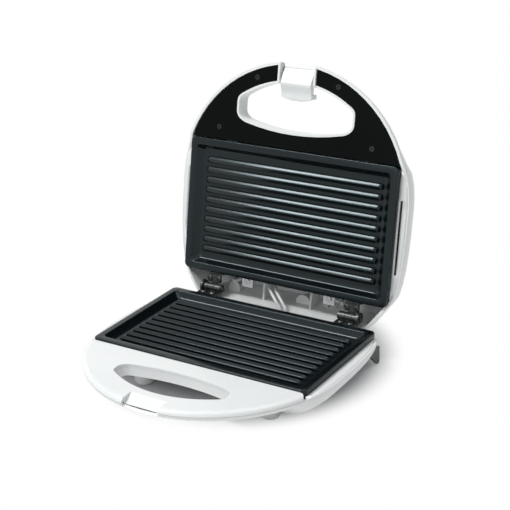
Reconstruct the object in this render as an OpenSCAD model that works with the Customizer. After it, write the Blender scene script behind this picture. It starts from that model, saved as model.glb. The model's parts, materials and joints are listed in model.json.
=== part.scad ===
/* [Grill plates] */
// Width of each grill plate across its rim
plate_w = 220; // [205:1:232]
// Depth of each grill plate across its rim
plate_d = 129; // [120:1:136]
// Outer corner radius of a plate
plate_corner_r = 8; // [4:0.5:12]
// Width of the flat rim
rim_w = 7; // [5:0.5:9]
// Run of the sloped wall inside the rim
rim_slope = 6; // [3:0.5:8]
// Height of the plate's outer wall
plate_h = 9.2; // [8:0.2:10]
// Thickness of the ribbed floor
plate_floor_t = 2.2; // [1.5:0.1:3]
// Number of ribs on each plate
rib_count = 10; // [6:1:10]
// Spacing of the ribs
rib_pitch = 9.7; // [8:0.1:10.2]
// Height of a rib above the floor
rib_h = 4.2; // [2.5:0.1:5]
// Width of a rib at its top
rib_top_w = 2.4; // [1.5:0.1:4]
// Width of a rib at its foot
rib_foot_w = 6.4; // [4.5:0.1:7.6]
// Gap between the two rims when the lid is shut
plate_gap = 1; // [0.6:0.1:1.6]

/* [Housings] */
// Height of the lower rim above the table
rim_height = 41.5; // [38.5:0.5:46]
// Radius of the round front in plan
front_r = 120.5; // [119:0.5:126]
// How far the handles reach in front of the plates
front_reach = 81; // [78:0.5:86]
// How far the housings reach behind the plates
rear_reach = 24.5; // [24:0.5:28]
// Wall thickness of the mouldings
wall = 2.5; // [2:0.1:2.8]
// Depth of the base moulding under the rim
base_depth = 32; // [31:0.5:34]
// Depth of the base under the hand opening
base_handle_depth = 12.6; // [12:0.1:14]
// Depth of the lid moulding over its rim
lid_depth = 37.5; // [34:0.5:42]
// Depth of the lid over the hand opening
lid_handle_depth = 17; // [16.5:0.5:19]
// Rise in the middle of the lid
lid_crown = 3; // [1:0.5:5]
// How far the side lips lie below the plate rims
side_drop = 6; // [5:0.5:7]
// Diameter of the front feet
foot_d = 17.5; // [14:0.5:20]
// Thickness of the rear legs
leg_t = 3; // [2:0.2:4]

/* [Handles] */
// Half the width of the lid's hand opening
lid_hand_w = 60; // [52:0.5:63]
// Half the width of the base's hand opening
base_hand_w = 57; // [50:0.5:60]
// Width of the lid's handle bar
lid_bar = 19; // [17:0.5:21]
// Width of the base's handle bar
base_bar = 23; // [21:0.5:25]
// Thickness of the wall round a hand opening
hand_wall = 2; // [1.6:0.1:2.4]
// Thickness of the black panel on the lid's handle
panel_t = 2; // [1.5:0.1:2.4]
// Half the width of the latch
latch_w = 15.9; // [12:0.1:17]
// Play between the latch and the ears beside it
latch_play = 1.9; // [0.5:0.1:2.2]

/* [Hinges and latch] */
// Angle from the shut lid to the open lid
open_angle = 101; // [95:1:103]
// Angle that the latch swings out from its stop
latch_swing = 125; // [115:1:130]
// Distance of the hinge axis behind the plates
hinge_reach = 14.6; // [14:0.1:15.6]
// Distance of each hinge's middle from the centre line
hinge_x = 75.1; // [70:0.5:78]
// Diameter of the hinge pins
hinge_pin_d = 4; // [3:0.1:4.4]
// Outer diameter of the hinge knuckles
knuckle_d = 8.4; // [7.6:0.1:8.8]
// Diameter of the latch pin
latch_pin_d = 3; // [2.4:0.1:3.4]
// Play round a pin that turns, on the radius
pin_play = 0.05; // [0.02:0.01:0.08]

/* [Heating] */
// Diameter of the tubular heating elements
element_d = 6.5; // [5.5:0.1:6.6]
// Half the distance between the element's long legs
element_x = 60; // [50:1:66]
// Thickness of the heat shields
shield_t = 0.8; // [0.5:0.1:1]
// Diameter of the supply cord's hole
cord_d = 7; // [6:0.1:8]

/* [Hidden] */
$fn = 48;
tiny = 0.01;
// running gap between pieces that do not touch, and seam between mouldings
play = 0.3;
seam = 0.2;

// ---- plan of the mouldings, y = 0 at the back of the plates ----
plate_front = -plate_d;
front_y = plate_front - front_reach;
front_cy = front_y + front_r;
shell_c = [0, plate_front + 44];
slope_y = plate_front - 14;
slope_run = 28;
arc_steps = 17;
side_steps = 7;
chamfer_steps = 4;
corner_steps = 3;
rear_steps = 3;
side_a = [front_r, front_cy];
side_b = [plate_w / 2 + 4.3, -8];
chamfer_end = [plate_w / 2 - 16, rear_reach - 3.5];
rear_a = [plate_w / 2 - 26, rear_reach];

function smooth(t) = let (u = min(1, max(0, t))) u * u * (3 - 2 * u);
function mix(a, b, t) = a + (b - a) * t;
function bezier(a, b, c, d, t) =
    a * pow(1 - t, 3) + b * 3 * t * pow(1 - t, 2) + c * 3 * t * t * (1 - t) + d * pow(t, 3);
function front_point(a, inset = 0) =
    [(front_r - inset) * cos(a), front_cy + (front_r - inset) * sin(a)];

half_outline = concat(
    [for (i = [0:arc_steps]) front_point(mix(-90, 0, i / arc_steps))],
    [for (i = [1:side_steps])
        bezier(side_a, side_a + [0, 30], side_b + [5.6, -20], side_b, i / side_steps)],
    [for (i = [1:chamfer_steps])
        bezier(side_b, side_b + [-2, 6], chamfer_end + [7, -9], chamfer_end, i / chamfer_steps)],
    [for (i = [1:corner_steps])
        bezier(chamfer_end, chamfer_end + [-2, 2.6], rear_a + [5, 0], rear_a, i / corner_steps)],
    [for (i = [1:rear_steps]) [rear_a[0] * (1 - i / rear_steps), rear_reach]]);
half_n = len(half_outline);
outline = concat(half_outline,
    [for (i = [half_n - 2:-1:1]) [-half_outline[i][0], half_outline[i][1]]]);
ring_n = len(outline);
body_rings = [1, 0.997, 0.987, 0.97, 0.945, 0.912, 0.87, 0.817, 0.75, 0.69, 0.63, 0.57,
    0.52, 0.47, 0.42, 0.37, 0.31, 0.22];
core_rings = [1, 0.987, 0.945, 0.87, 0.75, 0.63, 0.52, 0.42, 0.32];
cap_rings = [1, 0.997, 0.988, 0.975, 0.958, 0.935];

// depth of the handle cover's top under the rim, and of the ears beside the latch
cover_z = 1.5;
ear_z = 0.5;
hand_rim_z = 1.8;
// form of a moulding: [body depth, handle depth, crown, front lip, side lip, rear lip,
//     side rounding, handle rounding]
base_form = [base_depth, base_handle_depth, 0, side_drop, side_drop, 13.2, 38, 12];
lid_form = [lid_depth, lid_handle_depth, lid_crown, 1.5, side_drop + 0.5, 1.2, 17, 12];
cap_h = side_drop - cover_z - seam;
cap_form = [cap_h, cap_h, 0, 0, 0, 0, 5, 5];

function body_share(y) = smooth((y - slope_y) / slope_run);
function edge_round(form, y) = mix(form[7], form[6], smooth((y - plate_front + 21) / 40))
    + (form[7] - form[6]) * smooth((y + 5) / 25);
function lip_drop(form, y) = form[3] + (form[4] - form[3]) * smooth((y - plate_front + 2) / 12)
    + (form[5] - form[4]) * smooth((y + 8) / 16);
function ellipse_drop(e, a) = e <= 0 ? 0 : e >= a ? 1 : sqrt(1 - pow(1 - e / a, 2));
// a point of the outer skin (inset 0) or of a skin that lies inside it
function skin_point(form, p, share, inset) = let (
        reach = norm(p - shell_c),
        s = share * (reach - inset) / reach,
        q = shell_c + (p - shell_c) * s,
        e = (1 - share) * (reach - inset),
        lip = lip_drop(form, p[1]),
        full = mix(form[1], form[0], body_share(q[1])) - inset,
        crown = form[2] * body_share(q[1]) * (1 - share * share))
    [q[0], q[1], -lip - (full - lip) * ellipse_drop(e, edge_round(form, p[1])) - crown];
function skin(form, rings, inset) = concat(
    [for (s = rings) each [for (p = outline) skin_point(form, p, s, inset)]],
    [skin_point(form, outline[0], 0, inset)]);
function quads(a, b, flip) = [for (j = [0:ring_n - 1]) let (k = (j + 1) % ring_n)
    each flip
        ? [[a + j, b + k, a + k], [a + j, b + j, b + k]]
        : [[a + j, a + k, b + k], [a + j, b + k, b + j]]];
function skin_faces(start, rings_n, flip) = let (
        last = start + (rings_n - 1) * ring_n,
        tip = start + rings_n * ring_n)
    concat(
        [for (i = [0:rings_n - 2])
            each quads(start + i * ring_n, start + (i + 1) * ring_n, flip)],
        [for (j = [0:ring_n - 1]) let (k = (j + 1) % ring_n)
            flip ? [last + k, last + j, tip] : [last + j, last + k, tip]]);

// thin-walled dish with an open top
module moulding(form, rings = body_rings) {
    skin_n = len(rings) * ring_n + 1;
    polyhedron(concat(skin(form, rings, 0), skin(form, rings, wall)),
        concat(skin_faces(0, len(rings), false), skin_faces(skin_n, len(rings), true),
            quads(0, skin_n, true)), convexity = 6);
}

// everything inside a skin, up to well over the lip
module inside(form, inset, rings = core_rings) {
    skin_n = len(rings) * ring_n + 1;
    top = [for (p = outline) skin_point(form, p, 1, inset) + [0, 0, 40]];
    lid_start = skin_n;
    polyhedron(concat(skin(form, rings, inset), top, [[shell_c[0], shell_c[1], 40]]),
        concat(skin_faces(0, len(rings), false), quads(0, lid_start, true),
            [for (j = [0:ring_n - 1])
                [lid_start + (j + 1) % ring_n, lid_start + j, lid_start + ring_n]]),
        convexity = 6);
}

// ---- frames: in_base has z = 0 on the lower rim, in_lid has z = 0 on the upper rim ----
hinge_y = hinge_reach;
hinge_z = plate_gap / 2;
function opened(y, z) = let (dy = y - hinge_y, dz = z + plate_gap - hinge_z)
    [hinge_y + dy * cos(open_angle) + dz * sin(open_angle),
        hinge_z - dy * sin(open_angle) + dz * cos(open_angle)];
lid_rear = max([for (p = skin(lid_form, body_rings, 0)) opened(p[1], -p[2])[0]]);
// half the width of the slope that the latch slides down
ramp_w = 18.3;
base_front = front_cy - sqrt(front_r * front_r - ramp_w * ramp_w);
mid_y = (base_front + lid_rear) / 2;

module in_base() translate([0, -mid_y, rim_height]) children();
module in_lid() in_base() translate([0, hinge_y, hinge_z]) rotate([-open_angle, 0, 0])
    translate([0, -hinge_y, plate_gap - hinge_z]) children();
module flipped() mirror([0, 0, 1]) children();
module both_sides() {
    children();
    mirror([1, 0, 0]) children();
}
module along_x(w) rotate([90, 0, 90]) translate([0, 0, -w / 2]) linear_extrude(w) children();
module rod(d, len) rotate([0, 90, 0]) cylinder(d = d, h = len, center = true);
module rounded_rect(w, d, r) {
    square([w - 2 * r, d], center = true);
    square([w, d - 2 * r], center = true);
    for (x = [-1, 1], y = [-1, 1])
        translate([x * (w / 2 - r), y * (d / 2 - r)]) circle(r);
}

// ---- hand openings ----
hand_rear_r = 230;
hand_corner_r = 9;
lid_hand_y = plate_front - 16.2;
base_hand_y = plate_front - 19.5;
function hand_half(w, rear, front, rc) = let (
        xe = w - rc,
        yr = rear - hand_rear_r + sqrt(pow(hand_rear_r, 2) - xe * xe),
        yf = front_cy - sqrt(front * front - xe * xe),
        a = -acos(xe / front))
    concat(
        [for (i = [0:3]) let (x = xe * i / 4)
            [x, rear - hand_rear_r + sqrt(pow(hand_rear_r, 2) - x * x)]],
        [for (i = [0:5]) bezier([xe, yr], [xe + rc * 0.6, yr - rc * 0.15],
            [w, yr - rc * 0.5], [w, yr - rc], i / 5)],
        [for (i = [0:5]) bezier([w, yf + rc], [w, yf + rc * 0.45],
            [xe + rc * 0.45, yf + rc * 0.3], [xe, yf], i / 5)],
        [for (i = [1:8]) let (b = mix(a, -90, i / 8))
            [front * cos(b), front_cy + front * sin(b)]]);
module hand_hole(w, rear, bar, grow = 0) {
    half = hand_half(w + grow, rear + grow, front_r - bar + grow, hand_corner_r + grow);
    polygon(concat(half, [for (i = [len(half) - 2:-1:1]) [-half[i][0], half[i][1]]]));
}
module hand_wall(w, rear, bar) difference() {
    hand_hole(w, rear, bar, hand_wall);
    hand_hole(w, rear, bar, 0);
}

// ---- places shared by the pieces ----
plate_mid = -plate_d / 2;
floor_z = -(plate_h - plate_floor_t);
element_z = -plate_h - element_d / 2 - 0.05;
clamp_t = 1;
// size of the clamp's screw against the others
clamp_screw = 0.6;
clamp_z = element_z - element_d / 2 - 0.05;
post_d = 8;
post_x = plate_w / 2 - 26;
post_y = [-17, -plate_d + 17];
shield_z = -plate_h - 8;
shield_w = plate_w - 22;
shield_d = plate_d - 16;
shield_rim = -plate_h - play;
tab_x = 45;
tab_y = 5.5;
tab_w = 12;
tab_z = -14;
front_tab_x = 70;
screw_d = 3;
screw_head_d = 6;
screw_head_h = 1.5;
screw_bite = 4;
panel_z = 2.4;
panel_edge = 3.1;
panel_rear = plate_front - 2.7;
bulkhead_y = plate_front - 1.5;
bulkhead_t = 1.8;
bar_screw_x = 42.5;
function bar_point(bar) = [bar_screw_x, front_cy
    - sqrt(pow(front_r - bar / 2, 2) - bar_screw_x * bar_screw_x)];
panel_screws = [bar_point(lid_bar), [front_r - 39.5, plate_front - 12.4]];
cover_screws = [bar_point(base_bar), [front_r - 36.5, plate_front - 21]];
lamp_x = 11;
lamp_y = plate_front + 24;
lamp_d = 8;
cord_x = -40;
cord_z = 9.5 - base_depth;
cord_pad_d = 16;
foot_x = 66.4;
foot_y = plate_front + 15.4;
leg_x = plate_w / 2 - 8.7;
latch_y = front_y + 5.5;
latch_z = 9;
latch_gap_w = latch_w + latch_play;
ear_t = 2;
leaf_t = 2;
leaf_reach = 12.2;
hinge_screw_y = -8.2;

// ---- grill plates and heating, drawn for the base and mirrored for the lid ----
module tray_cut() hull() {
    translate([0, plate_mid, -tiny]) linear_extrude(1)
        rounded_rect(plate_w - 2 * rim_w, plate_d - 2 * rim_w, max(plate_corner_r - 2, 2), $fn = 32);
    translate([0, plate_mid, floor_z]) linear_extrude(tiny)
        rounded_rect(plate_w - 2 * (rim_w + rim_slope), plate_d - 2 * (rim_w + rim_slope), 2,
            $fn = 32);
}

module rib() along_x(plate_w - 2 * (rim_w + rim_slope) + 2)
    polygon([[-rib_foot_w / 2, floor_z - tiny], [rib_foot_w / 2, floor_z - tiny],
        [rib_top_w / 2 + 0.5, floor_z + rib_h - 0.6], [rib_top_w / 2, floor_z + rib_h],
        [-rib_top_w / 2, floor_z + rib_h], [-rib_top_w / 2 - 0.5, floor_z + rib_h - 0.6]]);

module grill_plate() {
    difference() {
        translate([0, plate_mid, -plate_h]) linear_extrude(plate_h)
            rounded_rect(plate_w, plate_d, plate_corner_r);
        tray_cut();
    }
    for (i = [0:rib_count - 1])
        translate([0, plate_mid + (i - (rib_count - 1) / 2) * rib_pitch, 0]) rib();
    both_sides() for (y = post_y) translate([post_x, y, shield_z]) difference() {
        cylinder(d = post_d, h = -plate_h - shield_z + tiny);
        translate([0, 0, -tiny]) cylinder(d = screw_d, h = 6);
    }
    translate([0, plate_mid, clamp_z]) difference() {
        cylinder(d = post_d, h = -plate_h - clamp_z + tiny);
        translate([0, 0, -tiny]) cylinder(d = screw_d, h = 5);
    }
}

element_r = 14;
element_front = plate_front + 26;
module heating_element() translate([0, 0, element_z]) {
    translate([0, element_front, 0]) rod(element_d, 2 * (element_x - element_r));
    both_sides() {
        translate([element_x - element_r, element_front + element_r, 0])
            rotate([0, 0, -90]) rotate_extrude(angle = 90)
                translate([element_r, 0]) circle(d = element_d);
        translate([element_x, element_front + element_r, 0]) rotate([-90, 0, 0])
            cylinder(d = element_d, h = -1.5 - element_front - element_r);
        translate([element_x, -1.5 - tiny, 0]) rotate([-90, 0, 0]) cylinder(d = 2.4, h = 6.5);
    }
}

module element_clamp() translate([0, plate_mid, clamp_z - clamp_t]) difference() {
    translate([-element_x - 8, -6, 0]) cube([2 * element_x + 16, 12, clamp_t]);
    translate([0, 0, -tiny]) cylinder(d = screw_d + 0.4, h = clamp_t + 1);
}

module heat_shield() difference() {
    union() {
        difference() {
            translate([-shield_w / 2, plate_mid - shield_d / 2, shield_z - shield_t])
                cube([shield_w, shield_d, shield_t + shield_rim - shield_z]);
            translate([-shield_w / 2 + shield_t, plate_mid - shield_d / 2 + shield_t, shield_z])
                cube([shield_w - 2 * shield_t, shield_d - 2 * shield_t, 20]);
        }
        both_sides() {
            translate([tab_x - tab_w / 2, plate_mid + shield_d / 2 - tiny, tab_z - shield_t])
                cube([tab_w, tab_y + tab_w / 2 - plate_mid - shield_d / 2, shield_t]);
            translate([front_tab_x - tab_w / 2, panel_rear - 6, shield_rim - shield_t])
                cube([tab_w, plate_mid - shield_d / 2 - panel_rear + 6 + tiny, shield_t]);
        }
    }
    both_sides() {
        for (y = post_y) translate([post_x, y, shield_z - 2]) cylinder(d = screw_d + 0.4, h = 3);
        translate([tab_x, tab_y, tab_z - 2]) cylinder(d = screw_d + 0.4, h = 4);
        translate([element_x, plate_mid, element_z]) rotate([-90, 0, 0])
            cylinder(d = element_d + 1, h = plate_d);
    }
    translate([0, plate_mid, shield_z - 2]) cylinder(d = clamp_screw * screw_head_d + 1, h = 3);
}

// slots in a housing's front wall for the shield's two front tabs
module tab_slots() both_sides() translate([front_tab_x - tab_w / 2 - play,
    bulkhead_y - bulkhead_t - 1, shield_rim - shield_t - play])
    cube([tab_w + 2 * play, bulkhead_t + 2, shield_t + 2 * play]);

// pan-head screw: head towards +z, with its underside at z = 0
module screw(len) {
    translate([0, 0, -len]) cylinder(d = screw_d - 0.04, h = len + tiny);
    difference() {
        rotate_extrude() polygon([[0, 0], [screw_head_d / 2, 0], [screw_head_d / 2, 0.6],
            [screw_head_d / 2 - 0.9, screw_head_h], [0, screw_head_h]]);
        for (a = [0, 90]) rotate([0, 0, a])
            translate([-1.5, -0.35, screw_head_h - 0.8]) cube([3, 0.7, 1]);
    }
}

module shield_screws() {
    both_sides() for (y = post_y) translate([post_x, y, shield_z - shield_t]) flipped()
        screw(shield_t + 5);
    translate([0, plate_mid, clamp_z - clamp_t]) flipped() scale(clamp_screw) screw(8);
}

module tab_screws() both_sides()
    translate([tab_x, tab_y, tab_z]) screw(shield_t + screw_bite);

// ---- hinges, drawn in either rim's own frame with z < 0 inside the housing ----
knuckle_w = 6.8;
ear_w = 7;
ear_d = 12.4;
ear_plate_t = 2;
knuckle_gap = 0.3;
outer_x = hinge_x + knuckle_w / 2 + knuckle_gap;
inner_x = hinge_x - knuckle_w / 2 - knuckle_gap;
hinge_w = 2 * (hinge_x - inner_x + ear_w);
hinge_screw_dx = 5;
leaf_depth = leaf_reach - knuckle_d / 2 - 0.5;
leaf_z = hinge_z - knuckle_d / 2;

module at_axis(x0) translate([x0, hinge_y, hinge_z]) rotate([0, 90, 0]) children();
module at_hinge_screws(z) both_sides() for (s = [-1, 1])
    translate([hinge_x + s * hinge_screw_dx, hinge_y + hinge_screw_y, z]) children();
module leaf(x0, w, depth, t) translate([x0, hinge_y - leaf_reach, leaf_z]) cube([w, depth, t]);

module base_hinge() difference() {
    union() {
        for (x = [inner_x - ear_w, outer_x]) {
            at_axis(x) cylinder(d = knuckle_d, h = ear_w);
            leaf(x, ear_w, leaf_reach, leaf_t * 0.8);
        }
        leaf(inner_x - ear_w, hinge_w, leaf_depth, leaf_t);
        difference() {
            at_axis(outer_x + ear_w - ear_plate_t) cylinder(d = ear_d, h = ear_plate_t);
            translate([outer_x, 0, leaf_z - ear_d]) cube([2 * ear_w, 2 * hinge_y, ear_d]);
        }
    }
    at_axis(inner_x - 2 * ear_w) cylinder(d = hinge_pin_d + 0.02, h = 2 * hinge_w);
}

lid_leaf_w = 14.4;
module lid_hinge() difference() {
    union() {
        at_axis(hinge_x - knuckle_w / 2) cylinder(d = knuckle_d, h = knuckle_w);
        leaf(hinge_x - knuckle_w / 2, knuckle_w, leaf_reach, leaf_t * 0.8);
        leaf(hinge_x - lid_leaf_w / 2, lid_leaf_w, leaf_depth, leaf_t);
    }
    at_axis(hinge_x - knuckle_w) cylinder(d = hinge_pin_d + 2 * pin_play, h = 2 * knuckle_w);
}

module hinge_screw_row() at_hinge_screws(leaf_z + leaf_t) screw(leaf_t + screw_bite);

module hinge_pin() at_axis(inner_x - ear_w) {
    cylinder(d = hinge_pin_d, h = hinge_w + 1);
    translate([0, 0, -1.2]) cylinder(d = hinge_pin_d + 2, h = 1.2);
}

// ---- wires ----
function unit(v) = v / norm(v);
function spline(p, i, t) = let (
        a = p[max(i - 1, 0)], b = p[i], c = p[i + 1], d = p[min(i + 2, len(p) - 1)])
    0.5 * ((2 * b) + (c - a) * t + (2 * a - 5 * b + 4 * c - d) * t * t
        + (3 * b - a - 3 * c + d) * pow(t, 3));
function smooth_route(p, n) = concat(
    [for (i = [0:len(p) - 2]) each [for (k = [0:n - 1]) spline(p, i, k / n)]], [p[len(p) - 1]]);
module wire(route, d, sides = 8) {
    path = smooth_route(route, 3);
    n = len(path);
    aim = unit([4, 5, 8]);
    rings = [for (i = [0:n - 1]) let (
            t = unit(path[min(i + 1, n - 1)] - path[max(i - 1, 0)]),
            u = unit(cross(t, aim)),
            v = cross(t, u))
        each [for (k = [0:sides - 1]) let (a = 360 * k / sides)
            path[i] + (u * cos(a) + v * sin(a)) * d / 2]];
    polyhedron(rings, concat(
        [for (i = [0:n - 2], k = [0:sides - 1]) let (
                a = i * sides + k, b = i * sides + (k + 1) % sides)
            each [[a, b, b + sides], [a, b + sides, a + sides]]],
        [[for (k = [sides - 1:-1:0]) k]], [[for (k = [0:sides - 1]) (n - 1) * sides + k]]),
        convexity = 8);
}
wire_d = 2.4;
wire_x = [3, 8.5];
block_h = 9.5;
block_top = wall - base_depth + block_h + 0.5;
block_up = block_top + 2.4;
// distance of each wire's end from the hinge axis
wire_stop = 1.7;
pin_end = [element_x, 5.3, element_z];
base_lid_wires = [
    [[-24, 2, block_top], [-24, 2, block_up], [-22, 2.5, -13], [-8, 8, -9], [1.5, 11, -6.5], [wire_x[0], 13.8, -4],
        [wire_x[0], hinge_y, hinge_z - wire_stop]],
    [[-16, 2, block_top], [-16, 2, block_up], [-12, 3, -14], [2, 8, -9.5], [7.5, 11, -6.5], [wire_x[1], 13.8, -4],
        [wire_x[1], hinge_y, hinge_z - wire_stop]]];
base_element_wires = [
    [[-31, 2, block_top], [-31, 2, block_up], [-33, 5, -14], [-42, 13, -12], [-54, 13, -12.2],
        [-pin_end[0], 9, pin_end[2]], [-pin_end[0], pin_end[1], pin_end[2]]],
    [[-9, 2, block_top], [-9, 2, block_up], [-4, 4, -15], [15, 12, -13], [42, 13.5, -12.5], [54, 13, -12.3],
        [pin_end[0], 9, pin_end[2]], pin_end]];
lid_wire_routes = [
    [[wire_x[0], hinge_y - wire_stop, hinge_z], [-2, 8, -4], [-10, 5.5, -9], [-24, 10, -13],
        [-42, 13.5, -12.5], [-54, 13, -12.3], [-pin_end[0], 9, pin_end[2]],
        [-pin_end[0], pin_end[1], pin_end[2]]],
    [[wire_x[1], hinge_y - wire_stop, hinge_z], [3.5, 8, -4.5], [-2, 6, -11], [4, 9.5, -16],
        [20, 13, -14.5], [42, 13.5, -12.8], [54, 13, -12.3],
        [pin_end[0], 9, pin_end[2]], pin_end]];

// ---- base ----
boss_d = 8;
hinge_boss_w = 16;
leg_slot = 0.15;
cover_seat_z = -side_drop - 1.5;
cover_head_z = cover_seat_z - 2.7;
far = 60;
module base_skin_parts() {
    translate([0, 0, -far]) linear_extrude(far - cover_z - wall - seam)
        hand_wall(base_hand_w, base_hand_y, base_bar);
    translate([-plate_w, bulkhead_y - bulkhead_t, -far])
        cube([2 * plate_w, bulkhead_t, far - side_drop]);
    both_sides() {
        for (p = cover_screws) translate([p[0], p[1], -far]) cylinder(d = 9, h = far + cover_seat_z);
        seat_posts();
    }
}

// posts for the shield's rear tab and for a hinge leaf
module seat_posts() {
    translate([tab_x, tab_y, -far]) cylinder(d = boss_d, h = far + tab_z - shield_t);
    translate([hinge_x - hinge_boss_w / 2, hinge_y - leaf_reach, -far])
        cube([hinge_boss_w, leaf_depth, far + leaf_z]);
}
module seat_holes() {
    translate([tab_x, tab_y, tab_z - shield_t - 5]) cylinder(d = screw_d, h = 20);
    for (s = [-1, 1])
        translate([hinge_x + s * hinge_screw_dx, hinge_y + hinge_screw_y, leaf_z - 5])
            cylinder(d = screw_d, h = 20);
}

foot_edge = 2.5;
module foot() translate([foot_x, foot_y, -rim_height]) rotate_extrude()
    polygon(concat([[0, 0], [foot_d / 2 - foot_edge, 0]],
        [for (a = [-60:30:0])
            [foot_d / 2 - foot_edge * (1 - cos(a)), foot_edge * (1 + sin(a))]],
        [[foot_d / 2, rim_height - base_depth + 4], [0, rim_height - base_depth + 4]]));

leg_back = 20.4;
module leg_profile() polygon([[-8, -17], [-8, -19], [5.8, 0.5 - base_depth], [16.4, -rim_height],
    [18.8, -rim_height], [leg_back, 2 - rim_height], [leg_back, -25], [10, -20], [0, -15.5]]);

// slope in the front of the base handle, which the latch slides down
ramp_top = [front_y + 16, -cover_z - 0.1];
ramp_foot = [front_y + 0.5, 2.8 - base_handle_depth];
ramp_cheek = 1.7;
module ramp_cut() along_x(2 * ramp_w) polygon([ramp_top, ramp_foot, [front_y - 5, ramp_foot[1]],
    [front_y - 5, 5], [ramp_top[0], 5]]);

module base_housing() color("white") in_base() difference() {
    union() {
        moulding(base_form);
        intersection() {
            base_skin_parts();
            inside(base_form, wall / 2);
        }
        both_sides() foot();
        translate([cord_x, rear_reach - 9, cord_z]) rotate([-90, 0, 0])
            cylinder(d = cord_pad_d, h = 9 - tiny);
    }
    linear_extrude(far, center = true) hand_hole(base_hand_w, base_hand_y, base_bar);
    ramp_cut();
    both_sides() {
        translate([leg_x, 0, 0]) along_x(leg_t + 2 * leg_slot) leg_profile();
        for (p = cover_screws) {
            translate([p[0], p[1], -far]) cylinder(d = screw_d + 0.4, h = far);
            translate([p[0], p[1], -far]) cylinder(d = screw_head_d + 0.6, h = far + cover_head_z);
        }
        seat_holes();
    }
    translate([cord_x, 0, cord_z]) rotate([-90, 0, 0]) {
        cylinder(d = cord_d + 3.2, h = far);
        cylinder(d = cord_d + 6.4 + 2 * seam, h = rear_reach - 9);
    }
    tab_slots();
}

module cover_plan() {
    corner = [for (i = [0:4]) bezier([plate_w / 2 + 2, plate_front - 7],
        [plate_w / 2 + 1, plate_front - 3], [plate_w / 2 - 1, plate_front - 0.6],
        [plate_w / 2 - 4, plate_front - 0.6], i / 4)];
    polygon(concat([[-plate_w, front_y - 9], [plate_w, front_y - 9], [plate_w, plate_front - 12]],
        corner, [for (i = [4:-1:0]) [-corner[i][0], corner[i][1]]],
        [[-plate_w, plate_front - 12]]));
}

module base_handle_cover() color("white") in_base() difference() {
    union() {
        intersection() {
            translate([0, 0, seam - side_drop]) flipped() moulding(cap_form, cap_rings);
            linear_extrude(far, center = true) cover_plan();
        }
        both_sides() for (p = cover_screws) translate([p[0], p[1], cover_seat_z + 0.05])
            cylinder(d = 7, h = -cover_z - 1.2 - cover_seat_z);
        along_x(2 * (ramp_w + ramp_cheek)) polygon([ramp_top + [1, -0.4], ramp_top + [1, -3],
            ramp_top + [-9.5, -6.4], ramp_top + [-10.6, -5.9], ramp_top + [-10.6, -0.6]]);
    }
    linear_extrude(far, center = true) hand_hole(base_hand_w, base_hand_y, base_bar);
    ramp_cut();
    both_sides() for (p = cover_screws) translate([p[0], p[1], -far])
        cylinder(d = screw_d, h = far - cover_z - 1.7);
}

module base_cover_screws() color("silver") in_base() both_sides() for (p = cover_screws)
    translate([p[0], p[1], cover_head_z]) flipped() screw(2.7 + screw_bite - 0.2);

module rear_legs() color("#303432") in_base() difference() {
    both_sides() translate([leg_x, 0, 0]) along_x(leg_t) leg_profile();
    inside(base_form, wall);
}

module cord_grommet() color("#202423") in_base() translate([cord_x, rear_reach, cord_z])
    rotate([-90, 0, 0]) rotate_extrude() polygon([[cord_d / 2, -11], [cord_d / 2 + 3.2, -11],
        [cord_d / 2 + 3.2, -9.1], [cord_d / 2 + 1.5, -9.1], [cord_d / 2 + 1.5, 0],
        [cord_d / 2 + 3.2, 0], [cord_d / 2 + 3.2, 1], [cord_d / 2 + 2.6, 1.8], [cord_d / 2, 1.8]]);

module base_grill_plate() color("#2b3030") in_base() grill_plate();
module base_heating_element() color("gray") in_base() heating_element();
module base_element_clamp() color("silver") in_base() element_clamp();
module base_heat_shield() color("silver") in_base() heat_shield();
module base_shield_screws() color("silver") in_base() shield_screws();
module base_tab_screws() color("silver") in_base() tab_screws();

thermostat_d = 15;
module thermostat() color("tan") in_base() translate([0,
        element_front + (element_d + thermostat_d) / 2 + 0.5, -plate_h - 6.3]) {
    cylinder(d = thermostat_d, h = 6.25);
    for (s = [-1, 1]) translate([s * 9 - 3, -2, 1]) cube([6, 4, 0.8]);
}

module thermal_fuse() color("gainsboro") in_base()
    translate([0, plate_mid + 26, -plate_h - 2.3]) {
        rod(4.5, 16);
        rod(1, 30);
    }

module terminal_block() color("ivory") in_base() translate([-36, -3.5, wall - base_depth])
    difference() {
        cube([32, 11, block_h]);
        for (i = [0:3]) translate([5 + 7.4 * i, 8, 4]) cylinder(d = 3.4, h = 6);
    }

module base_hinge_brackets() color("#3a3d3c") in_base() difference() {
    both_sides() base_hinge();
    at_hinge_screws(leaf_z - 1) cylinder(d = screw_d + 0.3, h = 9);
}
module base_hinge_screws() color("silver") in_base() hinge_screw_row();
module hinge_pins() color("silver") in_base() both_sides() hinge_pin();
module base_wires() color("silver") in_base()
    for (r = concat(base_lid_wires, base_element_wires)) wire(r, wire_d);

// ---- lid, drawn with z < 0 inside the housing ----
module lid_frame() in_lid() flipped() children();
lamp_depth = lid_depth + lid_crown
    * (1 - pow(norm([lamp_x, lamp_y] - shell_c) / norm([0, front_y] - shell_c), 2));
lamp_wall = 1.5;
lamp_seat = 27;
// ribs [x, depth] and round bosses [x, y, diameter, depth] behind the lid's plate
rear_ribs = [[-28, 15.8], [23, 17]];
rear_bosses = [[-63, 16.5, 13, 20], [12, 18, 15, 24]];
rear_ramp_x = 38.5;
rear_ramp_w = 15;
panel_back = panel_z + panel_t;

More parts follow.
